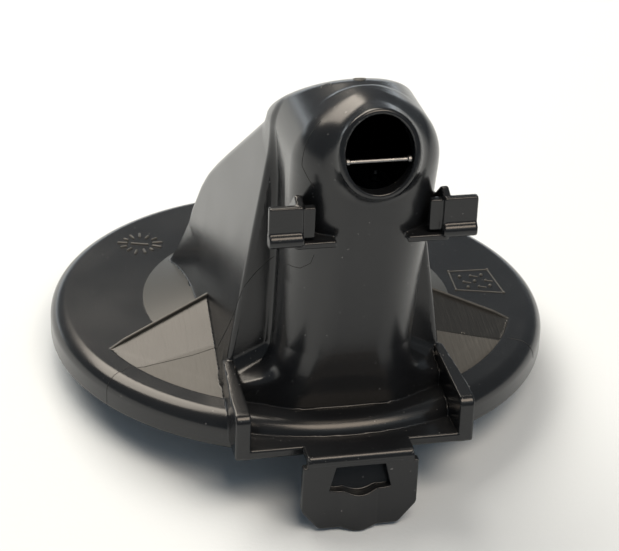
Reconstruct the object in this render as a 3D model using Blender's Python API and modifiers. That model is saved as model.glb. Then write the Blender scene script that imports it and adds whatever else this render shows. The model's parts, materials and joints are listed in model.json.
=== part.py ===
"""Suction lid of a surface cleaner's recovery tank.

A round lid carries a tapering duct with a leaning, round-topped column and a hose port. Below the
duct, a baffle plate holds a float cage whose float shuts the duct off when the tank is full. A sprung
tab at the front hooks over the tank's nub.

Axes: +X right, -Y towards the hose port and the tab, +Z up. The origin is the centre of the rim's
underside. All sizes here are in millimetres, and a mesh is turned to metres when it is made.
"""
import math

import bmesh
import bpy
from mathutils import Matrix, Vector

MM = 0.001
GAP = 0.3                 # between neighbouring pieces
MERGE = 0.00001           # metres
OVERSHOOT = 4.0           # how far a cutter runs past the face it opens

# Lid disc
RIM_R = 75.0
RIM_H = 9.5
RIM_FILLET = 4.75
SKIRT_T = 2.5
DECK_T = 3.0
DECK_UNDER = RIM_H - DECK_T
INSIDE_CHAMFER = 2.0
WALL = 2.5                # duct and column walls
ROUND_SEGMENTS = 64
SMALL_SEGMENTS = 24

# Duct: (height, rear face y); its front face is flat, apart from the top, which runs into the dome
DUCT_FRONT = -50.0
DUCT_PROFILE = ((4.0, 32.8), (9.5, 31.4), (18.0, 29.3), (30.0, 26.4), (40.0, 21.2),
                (47.0, 16.0), (54.5, 8.6), (60.0, 1.8), (96.0, -45.9), (107.0, -60.5))
DUCT_FOOT = 7.8           # buried in the deck
DUCT_HOLLOW_FOOT = 4.0
DUCT_HOLLOW_TOP = 84.0
DUCT_TOP = 96.0
DUCT_TOP_FRONT = -56.0
DUCT_CAP = (2.0, 14.0, 1.0, 2.0)       # cap ring inside the dome: rise, half width, back inset, corner
DUCT_HALF_AT_DECK = 32.3
DUCT_TAPER = 0.16         # loss of half width per unit of height
DUCT_EDGE_R = 5.0
DUCT_EDGE_LOSS = 0.5      # of edge radius per unit of inset
DUCT_EDGE_CLEAR = 0.2     # flat left between the two rounded edges of a narrow section
DUCT_ROOF_INSET = 1.35    # the sloping roof needs more level inset for the same wall

# Column: (height, half width, front y, front corner radius)
COLUMN_BACK = -46.0
COLUMN_PROFILE = (
    (7.6, 21.6, -64.0, 9.0), (14.5, 21.0, -66.6, 10.5), (22.0, 20.4, -69.2, 12.0),
    (30.0, 19.8, -71.8, 14.0), (52.0, 19.0, -78.2, 15.0), (75.0, 19.3, -84.2, 15.5))
COLUMN_BACK_R = 2.0
COLUMN_HOLLOW_LOSS = 0.7               # of corner radius per unit of wall
DOME_FOOT = (87.0, 19.8, -86.0)        # height, half width, front y
DOME_TOP = (106.2, 6.0, -71.0)
DOME_EXPONENT = 2.0
DOME_STEPS = 6
DOME_CORNER_R = 15.5
DOME_FLAT = 0.5                        # least flat between the dome's corners
HOLLOW_FLAT = 0.2

# Plinth between the cheeks: its top falls from the column to each cheek
PLINTH_R = 65.0
PLINTH_HALF = 30.4
PLINTH_BACK = -48.6
PLINTH_EDGE = (29.4, -51.0, 14.9)      # where its top meets the cheek and the duct
PLINTH_FALL = (0.51, 0.13)             # per unit outward and forward

# Hose port
PORT_CENTRE = Vector((0.0, -88.0, 97.1))
PORT_TILT = math.radians(11.0)
PORT_BORE = (9.05, 10.4)
COLLAR = (10.75, 11.8)
COLLAR_LENGTH = 16.0
COLLAR_FLARE = 1.12
PORT_SEGMENTS = 32
BORE_DEPTH = 20.0
PIN_R = 0.55
PIN_BEAD_R = 0.95
PIN_BEAD_LENGTH = 1.0
PIN_CHAMFER = 0.3
PIN_SEGMENTS = 10
PIN_SETBACK = 2.2
PIN_DROP = 2.0            # below the port's centre

# Front frame
CHEEK_OUT = 33.7
CHEEK_IN = 29.4
FRAME_FRONT = -78.8
FRAME_BOTTOM = 3.0
CHEEK_TOP = 16.5
CHEEK_RISE = 1.2          # of its top, from front to back
CHEEK_EDGE_R = 3.0
CHEEK_BACK = -48.0
SILL_TOP = 5.7
SILL_BACK = -66.0
FRAME_BITE = 1.0          # how far the sill runs into each cheek

# Latch tab
TAB_ROOT = FRAME_FRONT - GAP
TAB_FRONT = -86.3
TAB_T = 2.5
SHELF_HALF = 15.0
SHELF_TOP = 6.5
PLATE_HALF = 16.3
PLATE_TOP = 3.2
PLATE_SHOULDER = -11.0
PLATE_TIP = -17.1
PLATE_TIP_HALF = 11.2
GRIP_HALF = 4.6
GRIP_RISE = 1.2
GRIP_TIP = -18.0
GRIP_TOP = -7.0
GRIP_BITE = 0.1
TAB_EDGE_R = 1.5
WINDOW_REST = 0.9         # how far the window's foot drops beside the grip
WINDOW_TOP = (6.9, 2.8)   # half width, height
WINDOW_CUT = 8.0
WINDOW_FOOT = (8.7, -4.4)
WINDOW_DIP = -6.6
# Guide behind the window, from the shelf down: (y, z)
TAB_GUIDE = ((-80.4, 4.2), (-84.3, -6.4), (-82.9, -6.6), (-79.2, 3.0), (-79.2, 4.2))
TAB_GUIDE_HALF = 9.7

# Side hooks
WING_OUT = 27.7
WING_IN = 18.6
WING_FRONT = -85.5
WING_TOP = 82.3
WING_FOOT = 71.5
WING_T = 2.2
LIP_R = 1.9
LIP_AXIS = (0.4, 1.52)    # behind the wing's front and above its foot
FLOOR_IN = 9.5
FLOOR_BACK = -70.0
FLOOR_SETBACK = 0.2       # of the floor behind the wing's front
FLOOR_TOP = 71.9
FLOOR_T = 1.8
WEB_T = 1.9
# Web outline (y, z), from its front foot round to its front top
WEB = ((-85.2, 70.2), (-64.0, 70.2), (-64.0, 86.5), (-77.5, 83.5), (-85.2, 82.1))

# Ramps beside the duct: each falls from the duct's side wall to a shallow pocket at the deck's edge
RAMP_PEAK = (30.9, -14.5, 19.8)        # back end, at the duct's wall
RAMP_TOE = (32.4, -50.0, 9.0)          # front end, at the duct's wall
RAMP_CORNER = (60.2, -23.0, 9.5)       # outer end of the back edge
RAMP_INSIDE_X = 29.6                   # buried in the duct's wall
RAMP_UNDER = 4.9
POCKET_R = 64.8
PAN_R = 66.8
POCKET_FRONT = (34.0, -55.2)
POCKET_INSIDE = (32.6, -48.0)          # where the pocket's inner side meets the ramp
RAMP_HOLLOW = ((34.8, -18.2), (34.8, -46.0), (52.5, -23.6))
RAMP_HOLLOW_FOOT = 3.9

# Float gear, on its own upright axis
FLOAT_AXIS_Y = -22.0
BAFFLE_R = 71.2
BAFFLE_T = 2.6
INLET_R = 14.6
BAFFLE_SCREWS = ((52.0, 36.0), (-52.0, 36.0), (44.0, -44.0), (-44.0, -44.0))
BAFFLE_SCREW_TIP = 5.6
GASKET = (67.6, 70.2)                  # inner and outer radius
GRILLE_PITCH = 5.0
GRILLE_SLOT = 3.0
GRILLE_RIM = 1.8
GRILLE_SETBACK = 0.2                   # from the baffle's underside
GRILLE_TOP = 2.3
SCREW_R = 1.6
SCREW_HEAD_R = 3.0
SCREW_SEGMENTS = 12
SCREW_RECESS = 0.1                     # of a head below its face
SCREW_TIP_R = 0.6                      # as a share of its radius
SCREW_POINT = 0.8
FINE_SEGMENTS = 32
BOSS_R = 3.4
BOSS_BITE = 1.0
CAGE_R = 17.0
CAGE_T = 1.5
CAGE_TOP = 52.0
CAGE_FLANGE_R = 22.2
CAGE_FLANGE_T = 2.0
CAGE_SCREW_R = 19.1
CAGE_SCREW_DEGREES = (30, 150, 270)
CAGE_SCREW_STANDS = 1.5                # above the flange
CAGE_WINDOWS = 4
CAGE_WINDOW = (10.0, 10.0, 44.0)       # width, bottom, top
FLOAT_R = 13.6
FLOAT_FOOT = 2.6
FLOAT_H = 22.0
FLOAT_BORE_R = 1.6
FLOAT_BORE_DEPTH = 9.0
FLOAT_TOP_CHAMFER = 2.0
FLOAT_FOOT_CHAMFER = 3.0
PAD_R = 12.2
PAD_T = 2.0
PAD_SCREW_DEPTH = 8.0
# Pan head: (radius, height above its seat)
PAD_SCREW_HEAD = ((2.2, 1.4), (3.2, 0.5), (3.2, 0.0))
SEAT_HOLE_R = 9.5
SEAT_FOOT = 54.3
SEAT_T = 2.5
SEAT_CLEAR = 0.5                       # to the duct's walls
SEAT_BACK_CLEAR = 0.8
SEAT_CORNER_R = 3.0
SEAL_OUT_R = 13.0
SEAL_T = 1.6
RAIL_T = 4.0
RAIL_IN = 14.4
RAIL_SPAN = (-42.0, -14.0)
RAIL_BITE = 1.5                        # into the duct's wall
SEAT_SCREW_SHORT = 0.8                 # of the rail's top
SEAT_PILOT_SHORT = 0.4
SEAT_SCREW_X = 17.6
SEAT_SCREW_YS = (-38.0, -19.0)

PART_NAME = "suction_lid"


# ---------------------------------------------------------------- scene and materials

def clear_scene():
    for obj in list(bpy.data.objects):
        bpy.data.objects.remove(obj, do_unlink=True)


def new_collection(name):
    collection = bpy.data.collections.new(name)
    bpy.context.scene.collection.children.link(collection)
    return collection


def material(name, colour, roughness, metallic=0.0):
    mat = bpy.data.materials.new(name)
    mat.use_nodes = True
    shader = mat.node_tree.nodes["Principled BSDF"]
    shader.inputs["Base Color"].default_value = (*colour, 1.0)
    shader.inputs["Roughness"].default_value = roughness
    shader.inputs["Metallic"].default_value = metallic
    return mat


# ---------------------------------------------------------------- shape helpers

def place(obj, cutter):
    """Put an object in the part's collection or, as a hidden guide, among the cutters."""
    (CUTTERS if cutter else PARTS).objects.link(obj)
    if cutter:
        obj.hide_render = True
        obj.display_type = "WIRE"
    return obj


def mesh_object(name, bm, cutter=False):
    bmesh.ops.recalc_face_normals(bm, faces=bm.faces)
    mesh = bpy.data.meshes.new(name)
    bm.to_mesh(mesh)
    bm.free()
    return place(bpy.data.objects.new(name, mesh), cutter)


def box(name, low, high, cutter=False):
    bm = bmesh.new()
    bmesh.ops.create_cube(bm, size=MM)
    low, high = Vector(low), Vector(high)
    size = high - low
    bmesh.ops.transform(bm, matrix=Matrix.Diagonal((*size, 1.0)), verts=bm.verts)
    bmesh.ops.translate(bm, vec=(low + high) * 0.5 * MM, verts=bm.verts)
    return mesh_object(name, bm, cutter)


def cylinder(name, radius, low, high, centre, cutter=False, segments=SMALL_SEGMENTS):
    """Upright cylinder between two heights."""
    bm = bmesh.new()
    bmesh.ops.create_cone(bm, cap_ends=True, segments=segments, radius1=radius * MM, radius2=radius * MM,
                          depth=(high - low) * MM)
    bmesh.ops.translate(bm, vec=Vector((centre[0], centre[1], (low + high) / 2)) * MM, verts=bm.verts)
    return mesh_object(name, bm, cutter)


def turned(name, profile, centre=(0.0, 0.0), cutter=False, segments=ROUND_SEGMENTS, closed=False):
    """Revolve (radius, height) points about an upright axis. The profile runs down the outer side."""
    bm = bmesh.new()
    verts = [bm.verts.new(Vector((r, 0.0, z)) * MM) for r, z in profile]
    pairs = list(zip(verts, verts[1:]))
    if closed:
        pairs.append((verts[-1], verts[0]))
    for pair in pairs:
        bm.edges.new(pair)
    mesh = bpy.data.meshes.new(name)
    bm.to_mesh(mesh)
    bm.free()
    obj = place(bpy.data.objects.new(name, mesh), cutter)
    obj.location = Vector((*centre, 0.0)) * MM
    screw = obj.modifiers.new("turn", "SCREW")
    screw.steps = segments
    screw.render_steps = segments
    screw.use_merge_vertices = True
    screw.merge_threshold = MERGE
    screw.use_smooth_shade = True
    return obj


def arc(centre, radius, start_deg, end_deg, steps):
    """Points along an arc, both ends included."""
    angles = [math.radians(start_deg + (end_deg - start_deg) * k / steps) for k in range(steps + 1)]
    return [(centre[0] + radius * math.cos(a), centre[1] + radius * math.sin(a)) for a in angles]


def extruded(name, outlines, thickness, to_world, cutter=False):
    """Flat outline (the first closed line, less any further ones) extruded to both sides of its plane."""
    curve = bpy.data.curves.new(name, "CURVE")
    curve.dimensions = "2D"
    curve.fill_mode = "BOTH"
    curve.extrude = thickness * MM / 2
    for outline in outlines:
        spline = curve.splines.new("POLY")
        spline.points.add(len(outline) - 1)
        for point, (u, v) in zip(spline.points, outline):
            point.co = (u * MM, v * MM, 0.0, 1.0)
        spline.use_cyclic_u = True
    source = bpy.data.objects.new(name + "_outline", curve)
    bpy.context.scene.collection.objects.link(source)
    bpy.context.view_layer.update()
    mesh = bpy.data.meshes.new_from_object(source.evaluated_get(bpy.context.evaluated_depsgraph_get()))
    bpy.data.objects.remove(source, do_unlink=True)
    bm = bmesh.new()
    bm.from_mesh(mesh)
    bpy.data.meshes.remove(mesh)
    bmesh.ops.remove_doubles(bm, verts=bm.verts, dist=MERGE)
    bmesh.ops.transform(bm, matrix=to_world, verts=bm.verts)
    return mesh_object(name, bm, cutter)


def frame_matrix(u, v, origin):
    """Outline axes u and v (unit vectors) placed at an origin given in millimetres."""
    u, v = Vector(u), Vector(v)
    w = u.cross(v)
    rotation = Matrix((u, v, w)).transposed().to_4x4()
    return Matrix.Translation(Vector(origin) * MM) @ rotation


def side_outline_at(x):
    """Outline plane facing +X, whose axes are world Y and Z."""
    return frame_matrix((0, 1, 0), (0, 0, 1), (x, 0, 0))


def loft(name, rings, cutter=False):
    """Closed skin through level rings of equal point count, lowest first."""
    bm = bmesh.new()
    loops = [[bm.verts.new(Vector(point) * MM) for point in ring] for ring in rings]
    for low, high in zip(loops, loops[1:]):
        for i in range(len(low)):
            j = (i + 1) % len(low)
            bm.faces.new((low[i], low[j], high[j], high[i]))
    bm.faces.new(loops[0][::-1])
    bm.faces.new(loops[-1])
    bmesh.ops.triangulate(bm, faces=bm.faces)
    return mesh_object(name, bm, cutter)


def level_ring(z, half, front, back, front_r, back_r, steps):
    """Rounded rectangle in plan at height z, counterclockwise from above."""
    corners = ((half - back_r, back - back_r, back_r, 0),
               (back_r - half, back - back_r, back_r, 90),
               (front_r - half, front + front_r, front_r, 180),
               (half - front_r, front + front_r, front_r, 270))
    ring = []
    for x, y, radius, start in corners:
        ring += [(u, v, z) for u, v in arc((x, y), radius, start, start + 90, steps)]
    return ring


def combine(target, tool, operation):
    modifier = target.modifiers.new(tool.name, "BOOLEAN")
    modifier.operation = operation
    modifier.solver = "EXACT"
    modifier.object = tool


def join_all(target, tools):
    for tool in tools:
        combine(target, tool, "UNION")


def cut_all(target, tools):
    for tool in tools:
        combine(target, tool, "DIFFERENCE")


def smooth(obj, angle_deg=40.0):
    obj.data.shade_smooth()
    obj.data.set_sharp_from_angle(angle=math.radians(angle_deg))


# ---------------------------------------------------------------- hood shell

def disc_profile():
    """The lid disc as an open cup: over the rounded edge, under the skirt and back below the deck."""
    edge = arc((RIM_R - RIM_FILLET, RIM_H - RIM_FILLET), RIM_FILLET, 90, 0, 4)
    inside_r = RIM_R - SKIRT_T
    return [(0.0, RIM_H)] + edge + [
        (RIM_R, 0.0), (inside_r, 0.0), (inside_r, DECK_UNDER - INSIDE_CHAMFER),
        (inside_r - INSIDE_CHAMFER, DECK_UNDER), (0.0, DECK_UNDER)]


def duct_half(z):
    return DUCT_HALF_AT_DECK - DUCT_TAPER * (z - RIM_H)


def duct_back(z):
    """Rear face of the duct at height z, straight between its profile points."""
    for (z_low, y_low), (z_high, y_high) in zip(DUCT_PROFILE, DUCT_PROFILE[1:]):
        if z_low <= z <= z_high:
            return y_low + (y_high - y_low) * (z - z_low) / (z_high - z_low)
    raise ValueError("height is outside the duct")


def duct_ring(z, front, inset):
    back = duct_back(z) - inset * DUCT_ROOF_INSET
    edge_r = min(DUCT_EDGE_R, (back - front) / 2 - DUCT_EDGE_CLEAR) - inset * DUCT_EDGE_LOSS
    return level_ring(z, duct_half(z) - inset, front, back, edge_r, edge_r, 3)


def duct_skin_rings():
    heights = [DUCT_FOOT] + [z for z, _ in DUCT_PROFILE[2:-2]]
    top = duct_ring(DUCT_TOP, DUCT_TOP_FRONT, 0.0)
    rise, half, inset, corner_r = DUCT_CAP
    back = duct_back(DUCT_TOP + rise) - inset
    cap = level_ring(DUCT_TOP + rise, half, DUCT_TOP_FRONT, back, corner_r, corner_r, 3)
    return [duct_ring(z, DUCT_FRONT, 0.0) for z in heights] + [top, cap]


def duct_hollow_rings():
    heights = [DUCT_HOLLOW_FOOT] + [z for z, _ in DUCT_PROFILE[2:-2]] + [DUCT_HOLLOW_TOP]
    return [duct_ring(z, DUCT_FRONT + WALL, WALL) for z in heights]


def dome_sections():
    """Column sections above the dome's foot, easing over to the narrow flat top."""
    (z0, half0, front0), (z1, half1, front1) = DOME_FOOT, DOME_TOP
    sections = []
    for k in range(DOME_STEPS + 1):
        angle = math.radians(90 * k / DOME_STEPS)
        rise = math.sin(angle) ** (2 / DOME_EXPONENT)
        spread = math.cos(angle) ** (2 / DOME_EXPONENT) if k < DOME_STEPS else 0.0
        half = half1 + (half0 - half1) * spread
        sections.append((z0 + (z1 - z0) * rise, half, front1 + (front0 - front1) * spread))
    return sections


def column_skin_rings():
    rings = [level_ring(z, half, front, COLUMN_BACK, corner_r, COLUMN_BACK_R, 5)
             for z, half, front, corner_r in COLUMN_PROFILE]
    for z, half, front in dome_sections():
        corner_r = min(DOME_CORNER_R, half - DOME_FLAT)
        rings.append(level_ring(z, half, front, min(COLUMN_BACK, duct_back(z)), corner_r, COLUMN_BACK_R, 5))
    return rings


def column_hollow_rings():
    """The same sections, a wall's thickness in, from under the deck to under the dome."""
    (z_low, z_high), corner_loss = (DOME_FOOT[0], DOME_TOP[0]), WALL * COLUMN_HOLLOW_LOSS
    sections = list(COLUMN_PROFILE)
    sections[0] = (DUCT_HOLLOW_FOOT, *COLUMN_PROFILE[0][1:])
    for z, half, front in dome_sections():
        height = z - WALL * (z - z_low) / (z_high - z_low)
        sections.append((height, half, front, min(DOME_CORNER_R, half - DOME_FLAT)))
    rings = []
    for z, half, front, corner_r in sections:
        back = min(COLUMN_BACK + WALL, duct_back(z) - WALL * DUCT_ROOF_INSET)
        front_r = min(corner_r - corner_loss, half - WALL - HOLLOW_FLAT)
        rings.append(level_ring(z, half - WALL, front + WALL, back, front_r, COLUMN_BACK_R, 4))
    return rings


def port_axis():
    return Vector((0.0, -math.cos(PORT_TILT), math.sin(PORT_TILT)))


def port_cylinder(name, radii, start, end, flare=1.0):
    """Oval cylinder about the port's axis; start and end are measured outward from the collar's face."""
    bm = bmesh.new()
    bmesh.ops.create_cone(bm, cap_ends=True, segments=PORT_SEGMENTS, radius1=flare, radius2=1.0,
                          depth=1.0)
    size = (radii[0] * MM, radii[1] * MM, (end - start) * MM, 1.0)
    bmesh.ops.transform(bm, matrix=Matrix.Diagonal(size), verts=bm.verts)
    axis = port_axis()
    rotation = Matrix(((1, 0, 0), axis.cross((1, 0, 0)), axis)).transposed().to_4x4()
    middle = PORT_CENTRE + axis * (start + end) / 2
    bmesh.ops.transform(bm, matrix=Matrix.Translation(middle * MM) @ rotation, verts=bm.verts)
    return mesh_object(name, bm, cutter=True)


def cheek(side):
    """Side plate of the front frame, with a rounded front top edge."""
    rounded = arc((FRAME_FRONT + CHEEK_EDGE_R, CHEEK_TOP - CHEEK_EDGE_R), CHEEK_EDGE_R, 180, 90, 4)
    outline = [(FRAME_FRONT, FRAME_BOTTOM)] + rounded
    outline += [(CHEEK_BACK, CHEEK_TOP + CHEEK_RISE), (CHEEK_BACK, FRAME_BOTTOM)]
    plane = side_outline_at(side * (CHEEK_OUT + CHEEK_IN) / 2)
    return extruded(f"cheek_{side:+d}", [outline[::-1]], CHEEK_OUT - CHEEK_IN, plane, cutter=True)


def front_frame():
    """Two cheeks and the sill between them, trimmed so that they only reach half way into the disc."""
    sill_half = CHEEK_IN + FRAME_BITE
    frame = box("sill", (-sill_half, FRAME_FRONT, FRAME_BOTTOM), (sill_half, SILL_BACK, SILL_TOP),
                cutter=True)
    join_all(frame, [cheek(-1), cheek(1)])
    trim_r, trim_top = RIM_R - SKIRT_T / 2, RIM_H - DECK_T / 2
    cut_all(frame, [cylinder("frame_trim", trim_r, -OVERSHOOT, trim_top, (0.0, 0.0), cutter=True,
                             segments=ROUND_SEGMENTS)])
    return frame


def sided(side, x_a, x_b):
    """Low and high x of a span given on the right side and mirrored to the left by side = -1."""
    return sorted((side * x_a, side * x_b))


def hook_pieces(side):
    """Wing plate with its curled lip, the floor under it and the web that ties it to the dome."""
    x_low, x_high = sided(side, WING_IN, WING_OUT)
    wing = box(f"wing_{side:+d}", (x_low, WING_FRONT, WING_FOOT),
               (x_high, WING_FRONT + WING_T, WING_TOP), cutter=True)
    lip_centre = (WING_FRONT + LIP_AXIS[0], WING_FOOT + LIP_AXIS[1])
    lip = extruded(f"lip_{side:+d}", [arc(lip_centre, LIP_R, 0, 315, 7)], x_high - x_low,
                   side_outline_at((x_low + x_high) / 2), cutter=True)
    x_low, x_high = sided(side, FLOOR_IN, WING_IN + WEB_T)
    floor = box(f"floor_{side:+d}", (x_low, WING_FRONT + FLOOR_SETBACK, FLOOR_TOP - FLOOR_T),
                (x_high, FLOOR_BACK, FLOOR_TOP), cutter=True)
    web = extruded(f"web_{side:+d}", [WEB], WEB_T, side_outline_at(side * (WING_IN + WEB_T / 2)),
                   cutter=True)
    return [wing, lip, floor, web]


def ramp_height(x, y):
    """Height of the ramp's plane above a point on the right-hand side."""
    peak, toe, corner = Vector(RAMP_PEAK), Vector(RAMP_TOE), Vector(RAMP_CORNER)
    normal = (toe - peak).cross(corner - peak)
    return peak.z - (normal.x * (x - peak.x) + normal.y * (y - peak.y)) / normal.z


def deck_arc(radius, start, end):
    """Plan points at a radius, between the directions of two plan points."""
    angles = [math.degrees(math.atan2(point[1], point[0])) for point in (start, end)]
    return arc((0.0, 0.0), radius, *angles, 6)


def upright_prism(name, side, plan, low, high):
    """Prism over a plan outline given on the right-hand side; low and high give the height at a point."""
    bm = bmesh.new()
    floor = [bm.verts.new(Vector((side * x, y, low(x, y))) * MM) for x, y in plan]
    top = [bm.verts.new(Vector((side * x, y, high(x, y))) * MM) for x, y in plan]
    for i in range(len(plan)):
        j = (i + 1) % len(plan)
        bm.faces.new((floor[i], floor[j], top[j], top[i]))
    bm.faces.new(top)
    bm.faces.new(floor[::-1])
    return mesh_object(f"{name}_{side:+d}", bm, cutter=True)


def ramp(side):
    plan = [(RAMP_INSIDE_X, RAMP_PEAK[1]), RAMP_PEAK[:2], RAMP_CORNER[:2]]
    plan += deck_arc(PAN_R, RAMP_CORNER, POCKET_FRONT) + [(RAMP_INSIDE_X, POCKET_FRONT[1])]
    return upright_prism("ramp", side, plan, lambda x, y: RAMP_UNDER, ramp_height)


def ramp_pocket(side):
    """Cutter for the part of the ramp that lies below the deck's top."""
    plan = [RAMP_CORNER[:2]] + deck_arc(POCKET_R, RAMP_CORNER, POCKET_FRONT)
    plan += [(POCKET_INSIDE[0], POCKET_FRONT[1]), POCKET_INSIDE]
    return upright_prism("ramp_pocket", side, plan, ramp_height, lambda x, y: RIM_H + OVERSHOOT)


def ramp_hollow(side):
    """Cutter that leaves the ramp as a wall over a hollow, open towards the baffle."""
    return upright_prism("ramp_hollow", side, RAMP_HOLLOW, lambda x, y: RAMP_HOLLOW_FOOT,
                         lambda x, y: ramp_height(x, y) - DECK_T)


def plinth(side):
    """One half of the plinth, with a front wall that follows the rim."""
    corner = (PLINTH_HALF, -math.sqrt(PLINTH_R ** 2 - PLINTH_HALF ** 2))
    plan = [(0.0, PLINTH_BACK)] + deck_arc(PLINTH_R, (0.0, -PLINTH_R), corner)
    plan += [(PLINTH_HALF, PLINTH_BACK)]
    return upright_prism("plinth", side, plan, lambda x, y: DUCT_FOOT, plinth_top)


def plinth_top(x, y):
    edge_x, edge_y, edge_z = PLINTH_EDGE
    return edge_z + PLINTH_FALL[0] * (edge_x - x) + PLINTH_FALL[1] * (y - edge_y)


def seat_rail(side):
    """Ledge on the duct's side wall that the seat plate is screwed up against."""
    low = SEAT_FOOT + SEAT_T + GAP
    x_low, x_high = sided(side, RAIL_IN, duct_half(low) - WALL + RAIL_BITE)
    return box(f"rail_{side:+d}", (x_low, RAIL_SPAN[0], low), (x_high, RAIL_SPAN[1], low + RAIL_T),
               cutter=True)


def make_hood_shell(plastic):
    hood = turned("hood_shell", disc_profile())
    hood.data.materials.append(plastic)
    join_all(hood, [loft("duct_skin", duct_skin_rings(), cutter=True),
                    loft("column_skin", column_skin_rings(), cutter=True)])
    join_all(hood, [plinth(-1), plinth(1), front_frame(),
                    port_cylinder("collar", COLLAR, -COLLAR_LENGTH, 0.0, flare=COLLAR_FLARE)])
    for side in (-1, 1):
        join_all(hood, hook_pieces(side) + [ramp(side)])
        cut_all(hood, [ramp_pocket(side), ramp_hollow(side)])
    cut_all(hood, [loft("duct_hollow", duct_hollow_rings(), cutter=True),
                   loft("column_hollow", column_hollow_rings(), cutter=True)])
    pilot_top = SEAT_FOOT + SEAT_T + RAIL_T - SEAT_PILOT_SHORT
    for side in (-1, 1):
        join_all(hood, [seat_rail(side)])
        cut_all(hood, [cylinder(f"seat_pilot_{side:+d}_{i}", SCREW_R + GAP, SEAT_FOOT, pilot_top,
                                (side * SEAT_SCREW_X, y), cutter=True, segments=SCREW_SEGMENTS)
                       for i, y in enumerate(SEAT_SCREW_YS)])
    cut_all(hood, [port_cylinder("bore", PORT_BORE, -BORE_DEPTH, OVERSHOOT)])
    for i, centre in enumerate(BAFFLE_SCREWS):
        join_all(hood, [cylinder(f"boss_{i}", BOSS_R, BAFFLE_T + GAP, DECK_UNDER + BOSS_BITE, centre,
                                 cutter=True, segments=SCREW_SEGMENTS)])
        cut_all(hood, [cylinder(f"pilot_{i}", SCREW_R + GAP, 0.0, BAFFLE_SCREW_TIP + GAP, centre,
                                cutter=True, segments=SCREW_SEGMENTS)])
    return hood


# ---------------------------------------------------------------- latch tab and port pin

def mirrored(points):
    """Outline from its right-hand points, given upward: down the left side, then up the right."""
    return [(-u, v) for u, v in points[::-1]] + list(points)


def make_latch_tab(plastic):
    """Shelf with a down-turned, windowed finger plate. Its origin is on the flexing root."""
    corner = arc((TAB_FRONT + TAB_EDGE_R, SHELF_TOP - TAB_EDGE_R), TAB_EDGE_R, 180, 90, 4)
    profile = [(TAB_FRONT, PLATE_TOP - TAB_EDGE_R)] + corner + [
        (TAB_ROOT, SHELF_TOP), (TAB_ROOT, SHELF_TOP - TAB_T), (TAB_FRONT + TAB_T, SHELF_TOP - TAB_T),
        (TAB_FRONT + TAB_T, PLATE_TOP - TAB_EDGE_R)]
    tab = extruded("latch_tab", [profile[::-1]], 2 * SHELF_HALF, side_outline_at(0.0))
    tab.data.materials.append(plastic)
    outline = mirrored([(PLATE_TIP_HALF, PLATE_TIP), (PLATE_HALF, PLATE_SHOULDER), (PLATE_HALF, PLATE_TOP)])
    front_plane = frame_matrix((1, 0, 0), (0, 0, 1), (0, TAB_FRONT + TAB_T / 2, 0))
    plate = extruded("tab_plate", [outline], TAB_T, front_plane, cutter=True)
    grip_back = TAB_FRONT + TAB_T - GRIP_BITE
    grip_plan = [(x, TAB_FRONT - GRIP_RISE * math.cos(math.pi / 2 * x / GRIP_HALF))
                 for x in (GRIP_HALF * (k / 4 - 1) for k in range(9))]
    grip_plan += [(GRIP_HALF, grip_back), (-GRIP_HALF, grip_back)]
    level_plane = frame_matrix((1, 0, 0), (0, 1, 0), (0, 0, (GRIP_TOP + GRIP_TIP) / 2))
    grip = extruded("tab_grip", [grip_plan], GRIP_TOP - GRIP_TIP, level_plane, cutter=True)
    window_outline = mirrored([(GRIP_HALF, WINDOW_FOOT[1] - WINDOW_REST), WINDOW_FOOT, WINDOW_TOP])
    window_outline.insert(len(window_outline) // 2, (0.0, WINDOW_DIP))
    cut_plane = frame_matrix((1, 0, 0), (0, 0, 1), (0, TAB_FRONT, 0))
    window = extruded("tab_window", [window_outline], WINDOW_CUT, cut_plane, cutter=True)
    guide = extruded("tab_guide", [TAB_GUIDE], 2 * TAB_GUIDE_HALF, side_outline_at(0.0), cutter=True)
    join_all(tab, [plate, grip])
    cut_all(tab, [window])
    join_all(tab, [guide])
    pivot = Vector((0.0, TAB_ROOT, SHELF_TOP - TAB_T / 2)) * MM
    for obj in (tab, plate, grip, window, guide):
        obj.data.transform(Matrix.Translation(-pivot))
        obj.location = pivot
    return tab


def make_port_pin(steel):
    """Thin cross pin with a bead at each end, across the middle of the hose port."""
    half = PORT_BORE[0] - GAP
    bead = half - PIN_BEAD_LENGTH
    upper = [(0.0, half), (PIN_BEAD_R - PIN_CHAMFER, half), (PIN_BEAD_R, half - PIN_CHAMFER),
             (PIN_BEAD_R, bead), (PIN_R, bead - PIN_CHAMFER)]
    pin = turned("port_cross_pin", upper + [(r, -z) for r, z in upper[::-1]], segments=PIN_SEGMENTS)
    pin.rotation_euler = (0.0, math.pi / 2, 0.0)
    drop = port_axis().cross((1, 0, 0)).normalized() * PIN_DROP
    pin.location = (PORT_CENTRE - port_axis() * PIN_SETBACK - drop * math.copysign(1.0, drop.z)) * MM
    pin.data.materials.append(steel)
    return pin


# ---------------------------------------------------------------- seals, baffle and float gear

def float_centre():
    return (0.0, FLOAT_AXIS_Y)


def ring(name, inner_r, outer_r, low, high, mat, centre=(0.0, 0.0), segments=ROUND_SEGMENTS):
    profile = [(inner_r, high), (outer_r, high), (outer_r, low), (inner_r, low)]
    obj = turned(name, profile, centre, segments=segments, closed=True)
    obj.data.materials.append(mat)
    return obj


def screw_set(name, centres, head_z, tip_z, steel):
    """Equal countersunk screws, entered from below, one object each."""
    depth = SCREW_HEAD_R - SCREW_R
    for i, centre in enumerate(centres, start=1):
        profile = [(0.0, tip_z), (SCREW_R * SCREW_TIP_R, tip_z), (SCREW_R, tip_z - SCREW_POINT),
                   (SCREW_R, head_z + depth), (SCREW_HEAD_R, head_z), (0.0, head_z)]
        screw = turned(f"{name}_{i}", profile, centre, segments=SCREW_SEGMENTS)
        screw.data.materials.append(steel)


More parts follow.
